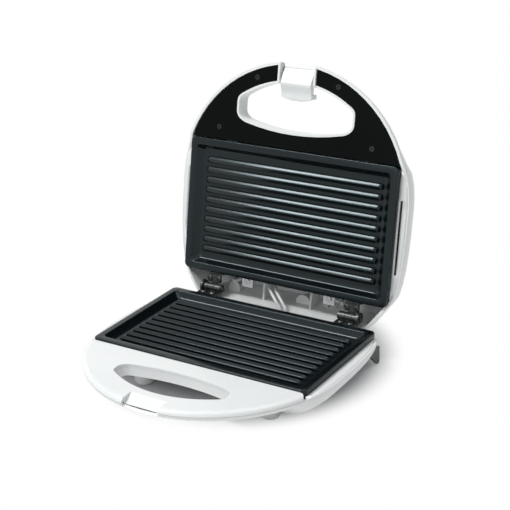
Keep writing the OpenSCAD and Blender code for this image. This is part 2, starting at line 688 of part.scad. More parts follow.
module lid_skin_parts() {
    translate([0, 0, -far]) linear_extrude(far - hand_rim_z)
        hand_wall(lid_hand_w, lid_hand_y, lid_bar);
    translate([-plate_w, bulkhead_y - bulkhead_t, -far])
        cube([2 * plate_w, bulkhead_t, far - panel_back - 0.1]);
    both_sides() {
        translate([latch_gap_w, front_y, -far]) cube([ear_t, lid_bar + 1, far - ear_z]);
        for (p = panel_screws) translate([p[0], p[1], -far]) cylinder(d = 7, h = far - panel_back - 0.05);
        translate([lamp_x, lamp_y, -far]) cylinder(d = lamp_d + 2 * lamp_wall, h = far - lamp_seat);
        seat_posts();
    }
    for (r = rear_ribs) translate([r[0], -6, -far]) cube([2, 6 + rear_reach, far - r[1]]);
    for (b = rear_bosses) translate([b[0], b[1], -far]) cylinder(d = b[2], h = far - b[3]);
    translate([rear_ramp_x, 0, 0]) along_x(rear_ramp_w) polygon([[12, -far], [12, -33], [24, -21],
        [rear_reach + 5, -21], [rear_reach + 5, -far]]);
}

module lid_housing() color("white") lid_frame() difference() {
    union() {
        moulding(lid_form);
        intersection() {
            lid_skin_parts();
            inside(lid_form, wall / 2);
        }
    }
    linear_extrude(2 * far, center = true) hand_hole(lid_hand_w, lid_hand_y, lid_bar);
    translate([-latch_gap_w, front_y - 9, -7]) cube([2 * latch_gap_w, 9 + lid_bar + hand_wall, far]);
    translate([-latch_gap_w, front_y - 9, -latch_z - 4.2])
        cube([2 * latch_gap_w, 9 + 5.5 + 6, far]);
    translate([0, latch_y, -latch_z]) rod(latch_pin_d + 0.04, 2 * (latch_gap_w + ear_t) + 1);
    both_sides() {
        for (p = panel_screws) translate([p[0], p[1], -panel_back - 8]) cylinder(d = screw_d, h = 20);
        translate([lamp_x, lamp_y, -far]) cylinder(d = lamp_d + 0.2, h = far);
        seat_holes();
    }
    translate([rear_ramp_x, 17, -34]) cylinder(d = screw_d, h = 20);
    tab_slots();
}

panel_head_d = 5;
module lid_handle_panel() color("#161b19") lid_frame() difference() {
    translate([0, 0, -panel_back]) linear_extrude(panel_t) difference() {
        intersection() {
            translate([0, front_cy]) circle(r = front_r - panel_edge, $fn = 160);
            translate([-plate_w, front_y]) square([2 * plate_w, panel_rear - front_y]);
        }
        hand_hole(lid_hand_w, lid_hand_y, lid_bar, hand_wall + seam);
        translate([0, front_y]) square([2 * (latch_gap_w + ear_t + seam), 2 * lid_bar + 4], center = true);
    }
    both_sides() for (p = panel_screws) translate([p[0], p[1], -panel_z]) {
        translate([0, 0, -1.2]) cylinder(d = panel_head_d + 0.4, h = 5);
        cylinder(d = screw_d + 0.3, h = 20, center = true);
    }
}

module lid_panel_screws() color("#161b19") lid_frame() both_sides() for (p = panel_screws)
    translate([p[0], p[1], -panel_z - 1.2]) {
        translate([0, 0, -6]) cylinder(d = screw_d - 0.04, h = 6 + tiny);
        difference() {
            cylinder(d = panel_head_d, h = 1.1);
            translate([0, 0, 0.4]) cylinder(d = 3, h = 2, $fn = 3);
        }
    }

module lid_grill_plate() color("#2b3030") lid_frame() grill_plate();
module lid_heating_element() color("gray") lid_frame() heating_element();
module lid_element_clamp() color("silver") lid_frame() element_clamp();
module lid_heat_shield() color("silver") lid_frame() heat_shield();
module lid_shield_screws() color("silver") lid_frame() shield_screws();
module lid_tab_screws() color("silver") lid_frame() tab_screws();

module lamp_lenses() color("red") lid_frame() both_sides()
    translate([lamp_x, lamp_y, -lamp_depth]) rotate_extrude() polygon([[0, -0.9], [2.5, -0.7],
        [lamp_d / 2 - 0.1, 0], [lamp_d / 2 - 0.1, 6], [0, 6]]);

module indicator_lamps() color("orange") lid_frame() both_sides()
    translate([lamp_x, lamp_y, -lamp_depth + 6.1]) rotate_extrude() polygon([[0, 0], [2, 0.4],
        [3, 2], [3, 10], [lamp_d / 2, 10], [lamp_d / 2, 12], [0, 12]]);

module lid_hinge_brackets() color("#3a3d3c") lid_frame() difference() {
    both_sides() lid_hinge();
    at_hinge_screws(leaf_z - 1) cylinder(d = screw_d + 0.3, h = 9);
}
module lid_hinge_screws() color("silver") lid_frame() hinge_screw_row();
module lid_wires() color("silver") lid_frame() for (r = lid_wire_routes) wire(r, wire_d);

// ---- latch, whose profile is measured from its pin ----
barrel_d = 6.8;
latch_reach = 30.2;
latch_edge = 27;
latch_profile = [[0.9, -3.2], [7.5, -6.6], [13.6, -9.1], [14.8, -9.3], [17, -8.7], [20.5, -7.1],
    [24, -6.1], [27.5, -6.1], [29.8, -5.6], [30, -4], [28.6, 3.2], [27.6, 3.8], [23.8, 3.8],
    [22.9, 3], [24.3, -2.4], [12, -2.4], [3, -0.9]];
latch_plan = concat([[-latch_w, latch_y - 9], [latch_w, latch_y - 9], [latch_w, latch_y + latch_edge]],
    [for (i = [0:8]) let (x = latch_w * (1 - i / 4)) [x * 0.97, latch_y + latch_reach
        - 3 * pow(x / latch_w, 2)]], [[-latch_w, latch_y + latch_edge]]);
module at_latch() lid_frame() translate([0, latch_y, -latch_z]) children();

module latch() color("white") difference() {
    intersection() {
        at_latch() {
            flipped() along_x(2 * latch_w) polygon(latch_profile);
            rod(barrel_d, 2 * latch_w);
        }
        lid_frame() linear_extrude(2 * far, center = true) polygon(latch_plan);
    }
    at_latch() rod(latch_pin_d + 2 * pin_play, 4 * latch_w);
}
module latch_pin() color("silver") at_latch() rod(latch_pin_d, 2 * (latch_gap_w + ear_t) - 0.4);

base_housing();
base_handle_cover();
base_cover_screws();
rear_legs();
cord_grommet();
base_grill_plate();
base_heating_element();
base_element_clamp();
base_heat_shield();
base_shield_screws();
base_tab_screws();
thermostat();
thermal_fuse();
terminal_block();
base_hinge_brackets();
base_hinge_screws();
hinge_pins();
base_wires();
lid_housing();
lid_handle_panel();
lid_panel_screws();
lid_grill_plate();
lid_heating_element();
lid_element_clamp();
lid_heat_shield();
lid_shield_screws();
lid_tab_screws();
lamp_lenses();
indicator_lamps();
lid_hinge_brackets();
lid_hinge_screws();
lid_wires();
latch_pin();
latch();
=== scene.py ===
"""Finishes and fine detail of a hinged sandwich toaster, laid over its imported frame."""

import json
import logging
import math
from dataclasses import dataclass, field
from enum import Enum
from typing import Any, Sequence

import bmesh
import bpy
from mathutils import Matrix, Vector


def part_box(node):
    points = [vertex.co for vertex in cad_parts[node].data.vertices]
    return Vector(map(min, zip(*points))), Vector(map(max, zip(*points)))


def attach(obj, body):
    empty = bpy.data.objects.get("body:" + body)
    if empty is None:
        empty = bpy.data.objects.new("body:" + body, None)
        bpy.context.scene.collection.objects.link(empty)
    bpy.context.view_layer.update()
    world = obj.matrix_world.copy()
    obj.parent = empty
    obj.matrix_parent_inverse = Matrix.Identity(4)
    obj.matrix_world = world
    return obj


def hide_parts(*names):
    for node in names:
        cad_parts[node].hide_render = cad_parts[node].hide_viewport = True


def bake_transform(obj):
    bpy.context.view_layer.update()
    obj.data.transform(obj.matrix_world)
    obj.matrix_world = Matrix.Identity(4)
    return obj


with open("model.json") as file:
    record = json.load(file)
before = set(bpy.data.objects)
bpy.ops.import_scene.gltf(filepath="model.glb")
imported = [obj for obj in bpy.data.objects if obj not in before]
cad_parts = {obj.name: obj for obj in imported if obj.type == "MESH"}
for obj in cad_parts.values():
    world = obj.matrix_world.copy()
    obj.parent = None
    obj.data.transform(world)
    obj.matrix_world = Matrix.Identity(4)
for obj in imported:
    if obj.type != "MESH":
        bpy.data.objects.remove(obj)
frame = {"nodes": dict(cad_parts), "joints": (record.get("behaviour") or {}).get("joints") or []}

LOG = logging.getLogger("toaster")
MM = 0.001
ALONG, AROUND = "lead_along", "lead_around"  # attributes that lay the weave along a lead
MIX_SHARE, MIX_LOW, MIX_HIGH, MIX_RESULT = 0, 6, 7, 2  # a Mix node's sockets for colours
Point = tuple[float, float, float]
Colour = tuple[float, float, float]


# ---------------------------------------------------------------- node trees
class Value:
    """A number socket in a shader tree whose operators add Math nodes."""

    def __init__(self, tree: "Tree", socket: bpy.types.NodeSocket) -> None:
        """Keeps the socket and the tree that it belongs to."""
        self.tree = tree
        self.socket = socket

    def _math(self, operation: str, first: Any, second: Any) -> "Value":
        """Adds one Math node.

        Args:
            operation: name of the Math operation.
            first: number or Value for the first socket.
            second: number or Value for the second socket.

        Returns:
            The node's result.
        """
        node = self.tree.node("ShaderNodeMath", {"operation": operation}, {0: first, 1: second})
        return Value(self.tree, node.outputs[0])

    def __add__(self, other: Any) -> "Value":
        """self + other."""
        return self._math("ADD", self, other)

    __radd__ = __add__

    def __sub__(self, other: Any) -> "Value":
        """self - other."""
        return self._math("SUBTRACT", self, other)

    def __rsub__(self, other: Any) -> "Value":
        """other - self."""
        return self._math("SUBTRACT", other, self)

    def __mul__(self, other: Any) -> "Value":
        """self * other."""
        return self._math("MULTIPLY", self, other)

    __rmul__ = __mul__

    def above(self, edge: float, width: float) -> "Value":
        """A soft step.

        Args:
            edge: value at which the step starts.
            width: how far it takes to rise from 0 to 1.

        Returns:
            A value from 0 to 1.
        """
        node = self.tree.node("ShaderNodeMapRange", {"interpolation_type": "SMOOTHSTEP"},
                              {"Value": self, "From Min": edge, "From Max": edge + width})
        return Value(self.tree, node.outputs[0])


class Tree:
    """A node tree, with the one way in which nodes are added to it."""

    def __init__(self, tree: bpy.types.NodeTree) -> None:
        """Keeps the tree."""
        self.tree = tree

    def node(self, kind: str, settings: dict | None = None, inputs: dict | None = None) -> Any:
        """Adds one node.

        Args:
            kind: the node's type name.
            settings: properties that are set first.
            inputs: values or links by socket name or number; a colour is three numbers.

        Returns:
            The node.
        """
        node = self.tree.nodes.new(kind)
        for key, value in (settings or {}).items():
            setattr(node, key, value)
        for key, value in (inputs or {}).items():
            socket = node.inputs[key]
            if isinstance(value, Value):
                value = value.socket
            if isinstance(value, bpy.types.NodeSocket):
                self.tree.links.new(value, socket)
            elif socket.type == "RGBA":
                socket.default_value = (*value, 1.0)
            else:
                socket.default_value = value
        return node

    def seen(self) -> Value:
        """Tells the rays that show a surface from those that only light it.

        Returns:
            1 for camera, mirror and see-through rays, and 0 for the rest.
        """
        path = self.node("ShaderNodeLightPath")
        camera, glossy, through = (Value(self, path.outputs[f"Is {kind} Ray"])
                                   for kind in ("Camera", "Glossy", "Transmission"))
        return (camera + glossy + through).above(0.0, 0.5)


class Recipe(Tree):
    """The node tree of one material, with a Principled shader at its end."""

    def __init__(self, name: str) -> None:
        """Makes an empty node material.

        Args:
            name: the material's name.
        """
        self.material = bpy.data.materials.new(self.title(name))
        self.material.use_nodes = True
        super().__init__(self.material.node_tree)
        self.tree.nodes.clear()
        self._coords: Any = None

    @staticmethod
    def title(name: str) -> str:
        """The material's name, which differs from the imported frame's plain one."""
        return f"{name}_finish"

    def coords(self, scale: Point = (1.0, 1.0, 1.0)) -> Any:
        """Object coordinates, stretched.

        Args:
            scale: factor along each axis.

        Returns:
            A vector socket.
        """
        if self._coords is None:
            self._coords = self.node("ShaderNodeTexCoord").outputs["Object"]
        if scale == (1.0, 1.0, 1.0):
            return self._coords
        mapping = self.node("ShaderNodeMapping", None, {"Vector": self._coords, "Scale": scale})
        return mapping.outputs[0]

    def noise(self, scale: float, detail: float = 3.0, stretch: Point = (1.0, 1.0, 1.0)) -> Value:
        """Fractal noise on Object coordinates.

        Args:
            scale: lumps per metre.
            detail: octaves.
            stretch: factor along each axis.

        Returns:
            A value around 0.5.
        """
        node = self.node("ShaderNodeTexNoise", None,
                         {"Vector": self.coords(stretch), "Scale": scale, "Detail": detail})
        return Value(self, node.outputs[0])

    def cells(self, scale: float) -> Value:
        """Distance to the nearest point of a scattered set.

        Args:
            scale: points per metre.

        Returns:
            A value from 0.
        """
        node = self.node("ShaderNodeTexVoronoi", {"feature": "F1"},
                         {"Vector": self.coords(), "Scale": scale})
        return Value(self, node.outputs[0])

    def blend(self, share: Value, low: Any, high: Any) -> Any:
        """Mixes two colours.

        Args:
            share: 0 gives low and 1 gives high.
            low: colour or colour socket.
            high: colour or colour socket.

        Returns:
            A colour socket.
        """
        node = self.node("ShaderNodeMix", {"data_type": "RGBA"},
                         {MIX_SHARE: share, MIX_LOW: low, MIX_HIGH: high})
        return node.outputs[MIX_RESULT]

    def bump(self, height: Value, depth: float, strength: float = 1.0) -> Any:
        """Turns a height into a normal.

        Args:
            height: value from 0 to 1.
            depth: height of 1, in metres.
            strength: share of the effect.

        Returns:
            A normal socket.
        """
        links = {"Height": height, "Distance": depth, "Strength": strength}
        return self.node("ShaderNodeBump", None, links).outputs[0]

    def principled(self, **inputs: Any) -> bpy.types.Material:
        """Ends the tree.

        Args:
            inputs: the shader's sockets, with _ for each space.

        Returns:
            The finished material.
        """
        shader = self.node("ShaderNodeBsdfPrincipled", None,
                           {key.replace("_", " "): value for key, value in inputs.items()})
        self.node("ShaderNodeOutputMaterial", None, {"Surface": shader.outputs[0]})
        return self.material


# ---------------------------------------------------------------- finishes
class Finish:
    """A surface finish that makes its material once."""

    name: str

    def recipe(self) -> bpy.types.Material:
        """Builds the material."""
        raise NotImplementedError

    def material(self) -> bpy.types.Material:
        """The finish's material, made when first asked for.

        Returns:
            The material.
        """
        return bpy.data.materials.get(Recipe.title(self.name)) or self.recipe()


@dataclass(frozen=True)
class MouldedPlastic(Finish):
    """Injection-moulded plastic with a faint texture, slow tone drift and handling smears.

    Scales are in lumps per metre.
    """

    name: str
    colour: Colour
    shade: Colour
    roughness: float = 0.3
    grain: float = 0.00002
    coat: float = 0.0
    specular: float = 0.5
    drift_scale: float = 16.0
    grain_scale: float = 2600.0
    smear_scale: float = 60.0

    def recipe(self) -> bpy.types.Material:
        """Builds the material.

        Returns:
            The material.
        """
        r = Recipe(self.name)
        drift = r.noise(self.drift_scale, 2.0)
        fine = r.noise(self.grain_scale, 2.0)
        smears = r.noise(self.smear_scale, 4.0, (1.0, 0.35, 1.0)).above(0.5, 0.3)
        colour = r.blend(drift.above(0.3, 0.4), self.shade, self.colour)
        return r.principled(
            Base_Color=colour,
            Roughness=self.roughness + 0.05 * smears + 0.04 * fine,
            Normal=r.bump(fine, self.grain),
            Coat_Weight=self.coat,
            Coat_Roughness=0.12,
            Specular_IOR_Level=self.specular,
        )


@dataclass(frozen=True)
class NonStick(Finish):
    """Sprayed non-stick coating on a pressed plate: speckle, worn patches and fine orange peel.

    Scales are in lumps per metre.
    """

    name: str
    colour: Colour
    fleck: Colour
    roughness: float = 0.3
    specular: float = 0.5
    sheen: Colour = (0.8, 0.96, 1.0)
    fleck_scale: float = 900.0
    patch_scale: float = 24.0
    peel_scale: float = 1400.0
    peel_depth: float = 0.00002

    def recipe(self) -> bpy.types.Material:
        """Builds the material.

        Returns:
            The material.
        """
        r = Recipe(self.name)
        flecks = 1.0 - r.cells(self.fleck_scale).above(0.1, 0.16)
        patches = r.noise(self.patch_scale)
        peel = r.noise(self.peel_scale)
        worn = tuple(c * 1.25 for c in self.colour)
        ground = r.blend(patches.above(0.35, 0.3), self.colour, worn)
        return r.principled(
            Base_Color=r.blend(flecks * 0.6, ground, self.fleck),
            Roughness=self.roughness + 0.06 * patches + 0.06 * peel,
            Normal=r.bump(peel, self.peel_depth, 0.6),
            Specular_IOR_Level=self.specular,
            Specular_Tint=self.sheen,
        )


class Surface(Enum):
    """How a metal surface was worked, as the stretch of its marks along each axis."""

    BRUSHED = (0.06, 1.0, 1.0)
    CAST = (1.0, 1.0, 1.0)
    ROLLED = (1.0, 0.25, 1.0)


@dataclass(frozen=True)
class Metal(Finish):
    """Sheet, rod or fastener metal. Scales are in lumps per metre."""

    name: str
    colour: Colour
    stain: Colour
    roughness: float = 0.3
    surface: Surface = Surface.ROLLED
    metallic: float = 1.0
    mark_scale: float = 2200.0
    mark_depth: float = 0.00003
    stain_scale: float = 70.0

    def recipe(self) -> bpy.types.Material:
        """Builds the material.

        Returns:
            The material.
        """
        r = Recipe(self.name)
        marks = r.noise(self.mark_scale, stretch=self.surface.value)
        stains = r.noise(self.stain_scale, 4.0).above(0.45, 0.3)
        return r.principled(
            Base_Color=r.blend(stains, self.colour, self.stain),
            Metallic=self.metallic,
            Roughness=self.roughness + 0.16 * marks + 0.1 * stains,
            Normal=r.bump(marks, self.mark_depth, 0.6),
        )


@dataclass(frozen=True)
class Sleeve(Finish):
    """Woven glass-fibre sleeving over a lead, its weave laid along the lead."""

    name: str
    colour: Colour
    gap: Colour
    per_metre: float = 7000.0
    turn: float = 37.7
    depth: float = 0.00012

    def recipe(self) -> bpy.types.Material:
        """Builds the material.

        Returns:
            The material.
        """
        r = Recipe(self.name)
        along, around = (
            Value(r, r.node("ShaderNodeAttribute", {"attribute_name": title}).outputs["Fac"])
            for title in (ALONG, AROUND))

        def strand(turn: float) -> Value:
            """One direction of the weave.

            Args:
                turn: how the strand leans.

            Returns:
                A wave from -1 to 1.
            """
            wave = along * self.per_metre + around * turn
            return Value(r, r.node("ShaderNodeMath", {"operation": "SINE"}, {0: wave}).outputs[0])

        weave = strand(self.turn) * strand(-self.turn) * 0.5 + 0.5
        return r.principled(
            Base_Color=r.blend(weave, self.gap, self.colour),
            Roughness=0.75 - 0.15 * weave,
            Normal=r.bump(weave, self.depth, 0.7),
            Sheen_Weight=0.2,
        )


@dataclass(frozen=True)
class TintedLens(Finish):
    """Clear coloured plastic."""

    name: str
    colour: Colour

    def recipe(self) -> bpy.types.Material:
        """Builds the material.

        Returns:
            The material.
        """
        r = Recipe(self.name)
        fine = r.noise(1200.0, 2.0)
        return r.principled(
            Base_Color=r.blend(fine, self.colour, tuple(c * 0.8 for c in self.colour)),
            Roughness=0.08 + 0.05 * fine,
            Transmission_Weight=0.6,
            IOR=1.49,
        )


WHITE = MouldedPlastic("white_plastic", (0.79, 0.81, 0.805), (0.765, 0.785, 0.78), 0.3, coat=0.1)
PANEL = MouldedPlastic("black_panel", (0.0032, 0.0048, 0.0043), (0.0028, 0.0042, 0.0038), 0.2,
                       grain=0.00001, specular=0.04)
CHARCOAL = MouldedPlastic("charcoal_plastic", (0.045, 0.05, 0.05), (0.035, 0.04, 0.04), 0.45,
                          grain=0.00006)
RUBBER = MouldedPlastic("rubber", (0.028, 0.028, 0.028), (0.02, 0.02, 0.02), 0.6, grain=0.00008)
CERAMIC = MouldedPlastic("ceramic", (0.78, 0.74, 0.64), (0.7, 0.66, 0.56), 0.55, grain=0.00006)
COATING = NonStick("non_stick", (0.0020, 0.0036, 0.0044), (0.011, 0.016, 0.019), 0.14, 0.35)
DARK_STEEL = Metal("dark_steel", (0.06, 0.064, 0.064), (0.03, 0.032, 0.03), 0.26, Surface.CAST, 0.9)
BLACKED = Metal("blacked_screw", (0.02, 0.023, 0.022), (0.012, 0.014, 0.013), 0.35,
                Surface.CAST, 0.6)
BRIGHT_STEEL = Metal("bright_steel", (0.62, 0.63, 0.64), (0.48, 0.48, 0.47), 0.22)
SHEATH = Metal("sheath", (0.2, 0.19, 0.18), (0.12, 0.11, 0.1), 0.4, Surface.BRUSHED)
ALUMINIUM = Metal("sheet_aluminium", (0.66, 0.67, 0.68), (0.56, 0.57, 0.57), 0.42, Surface.BRUSHED)
SLEEVE = Sleeve("sleeving", (0.84, 0.85, 0.85), (0.55, 0.56, 0.56))
LENS = TintedLens("lens", (0.7, 0.03, 0.02))
LAMP = TintedLens("lamp_glass", (0.9, 0.6, 0.4))


# ---------------------------------------------------------------- places
@dataclass(frozen=True)
class RimFrame:
    """One half's own frame in mm: y = 0 at the back of its plate, z < 0 inside its housing."""

    matrix: Matrix
    body: str
    mirrored: bool

    def at(self, point: Sequence[float]) -> Vector:
        """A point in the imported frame.

        Args:
            point: x, y and z in this half's frame, in mm.

        Returns:
            The point in metres.
        """
        return self.matrix @ Vector(point)

    def place(self, bm: bmesh.types.BMesh) -> None:
        """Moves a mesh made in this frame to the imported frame, its faces outwards.

        Args:
            bm: the mesh.
        """
        bm.transform(self.matrix)
        if self.mirrored:
            bmesh.ops.reverse_faces(bm, faces=bm.faces)


@dataclass(frozen=True)
class Places:
    """Where the two halves and the hinge are."""

    open_angle: float = math.radians(101.0)
    rim_gap: float = 1.0

    @property
    def origin(self) -> Vector:
        """The middle of the back edge of the lower plate's rim."""
        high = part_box("base_grill_plate")[1]
        return Vector((0.0, high.y, high.z))

    @property
    def hinge(self) -> Vector:
        """A point of the hinge axis."""
        joint = next(j for j in frame["joints"] if j["name"] == "lid_hinge")
        return Vector(joint["pos_m"])

    def base(self) -> RimFrame:
        """The base's frame.

        Returns:
            The frame.
        """
        return RimFrame(Matrix.Translation(self.origin) @ Matrix.Scale(MM, 4), "base", False)

    def lid(self) -> RimFrame:
        """The lid's frame, as it rests open.

        Returns:
            The frame.
        """
        hinge = (self.hinge - self.origin) / MM
        turn = Matrix.Rotation(-self.open_angle, 4, "X")
        shift = Matrix.Translation((0.0, -hinge.y, self.rim_gap - hinge.z))
        flip = Matrix.Diagonal((1.0, 1.0, -1.0, 1.0))
        matrix = Matrix.Translation(self.hinge) @ Matrix.Scale(MM, 4) @ turn @ shift @ flip
        return RimFrame(matrix, "lid", True)


# ---------------------------------------------------------------- mesh tools
class MeshShop:
    """Turns bmesh work and modifiers into finished objects."""

    MERGE = 3e-6  # metres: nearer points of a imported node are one
    FLAT = math.radians(0.6)  # faces that bend by less are one
    ROUNDED = math.radians(38.0)  # edges that bend by more are rounded
    SHARP = 60.0  # degrees: rounded nodes stay sharp at edges that bend by more

    @staticmethod
    def piece(name: str, bm: bmesh.types.BMesh, finish: Finish, smooth: float = 35.0) -> Any:
        """Makes an object from a bmesh.

        Args:
            name: the object's name.
            bm: the mesh; it is freed.
            finish: its surface finish.
            smooth: edges that bend by more than this many degrees stay sharp.

        Returns:
            The object.
        """
        mesh = bpy.data.meshes.new(name)
        bm.to_mesh(mesh)
        bm.free()
        if "custom_normal" in mesh.attributes:
            mesh.attributes.remove(mesh.attributes["custom_normal"])
        mesh.materials.clear()
        mesh.materials.append(finish.material())
        mesh.polygons.foreach_set("material_index", [0] * len(mesh.polygons))
        mesh.shade_smooth()
        mesh.set_sharp_from_angle(angle=math.radians(smooth))
        obj = bpy.data.objects.new(name, mesh)
        bpy.context.scene.collection.objects.link(obj)
        return obj

    @staticmethod
    def settle(obj: Any) -> Any:
        """Applies an object's modifiers.

        Args:
            obj: the object.

        Returns:
            The same object, with its final mesh and no modifiers.
        """
        graph = bpy.context.evaluated_depsgraph_get()
        mesh = bpy.data.meshes.new_from_object(obj.evaluated_get(graph))
        mesh.name = obj.data.name
        obj.modifiers.clear()
        obj.data = mesh
        return obj

    @staticmethod
    def carried(node: str, finish: Finish, edge: float, segments: int, reshape: Any = None) -> Any:
        """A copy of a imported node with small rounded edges, which stands for that node.

        Args:
            node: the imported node.
            finish: its surface finish.
            edge: width of the rounding, in mm.
            segments: faces across the rounding.
            reshape: function that gives a point's new place.

        Returns:
            The object.
        """
        bm = bmesh.new()
        bm.from_mesh(frame["nodes"][node].data)
        for vert in bm.verts if reshape else ():
            vert.co = reshape(vert.co)
        bmesh.ops.remove_doubles(bm, verts=bm.verts, dist=MeshShop.MERGE)
        bmesh.ops.dissolve_limit(bm, angle_limit=MeshShop.FLAT, use_dissolve_boundaries=False,
                                 verts=bm.verts, edges=bm.edges)
        obj = MeshShop.piece(f"{node}_moulding", bm, finish, MeshShop.SHARP)
        bevel = obj.modifiers.new("edges", "BEVEL")
        bevel.width = edge * MM
        bevel.segments = segments
        bevel.limit_method = "ANGLE"
        bevel.angle_limit = MeshShop.ROUNDED
        bevel.use_clamp_overlap = True
        bevel.miter_outer = "MITER_ARC"
        weighted = obj.modifiers.new("normals", "WEIGHTED_NORMAL")
        weighted.keep_sharp = True
        weighted.weight = 80
        MeshShop.settle(obj)
        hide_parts(node)
        return obj


def ride(obj: Any, body: str) -> Any:
    """Fixes a finished piece to its body and logs it.

    Args:
        obj: the piece.
        body: the body that carries it.

    Returns:
        The piece.
    """
    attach(obj, body)
    LOG.info("%s rides on %s, %d faces", obj.name, body, len(obj.data.polygons))
    return obj


class NodeTool(Tree):
    """A Geometry Nodes tree with named inputs that ends in Realize Instances and Set Material."""

    def __init__(self, name: str, inputs: dict[str, str]) -> None:
        """Makes the tree and its inputs.

        Args:
            name: the tree's name.
            inputs: socket type by input name.
        """
        super().__init__(bpy.data.node_groups.new(name, "GeometryNodeTree"))
        face = self.tree.interface
        face.new_socket("Geometry", in_out="INPUT", socket_type="NodeSocketGeometry")
        self.sockets = {
            key: face.new_socket(key, in_out="INPUT", socket_type=kind)
            for key, kind in {**inputs, "Finish": "NodeSocketMaterial"}.items()
        }
        face.new_socket("Geometry", in_out="OUTPUT", socket_type="NodeSocketGeometry")
        self.start = self.node("NodeGroupInput")

    def given(self, name: str) -> Any:
        """The socket of a named input.

        Args:
            name: the input's name.

        Returns:
            Its output socket in the tree.
        """
        return self.start.outputs[name]

    def end(self, geometry: Any) -> None:
        """Closes the tree.

        Args:
            geometry: the geometry socket that it gives out.
        """
        real = self.node("GeometryNodeRealizeInstances", None, {0: geometry})
        done = self.node("GeometryNodeSetMaterial", None,
                         {"Geometry": real.outputs[0], "Material": self.given("Finish")})
        self.node("NodeGroupOutput", None, {0: done.outputs[0]})

    def run(self, obj: Any, **values: Any) -> Any:
        """Runs the tree on an object and keeps the result as its plain mesh.

        Args:
            obj: the object that gives the geometry.
            values: the named inputs.

        Returns:
            The same object.
        """
        modifier = obj.modifiers.new(self.tree.name, "NODES")
        modifier.node_group = self.tree
        for key, value in values.items():
            modifier[self.sockets[key].identifier] = value
        return MeshShop.settle(obj)


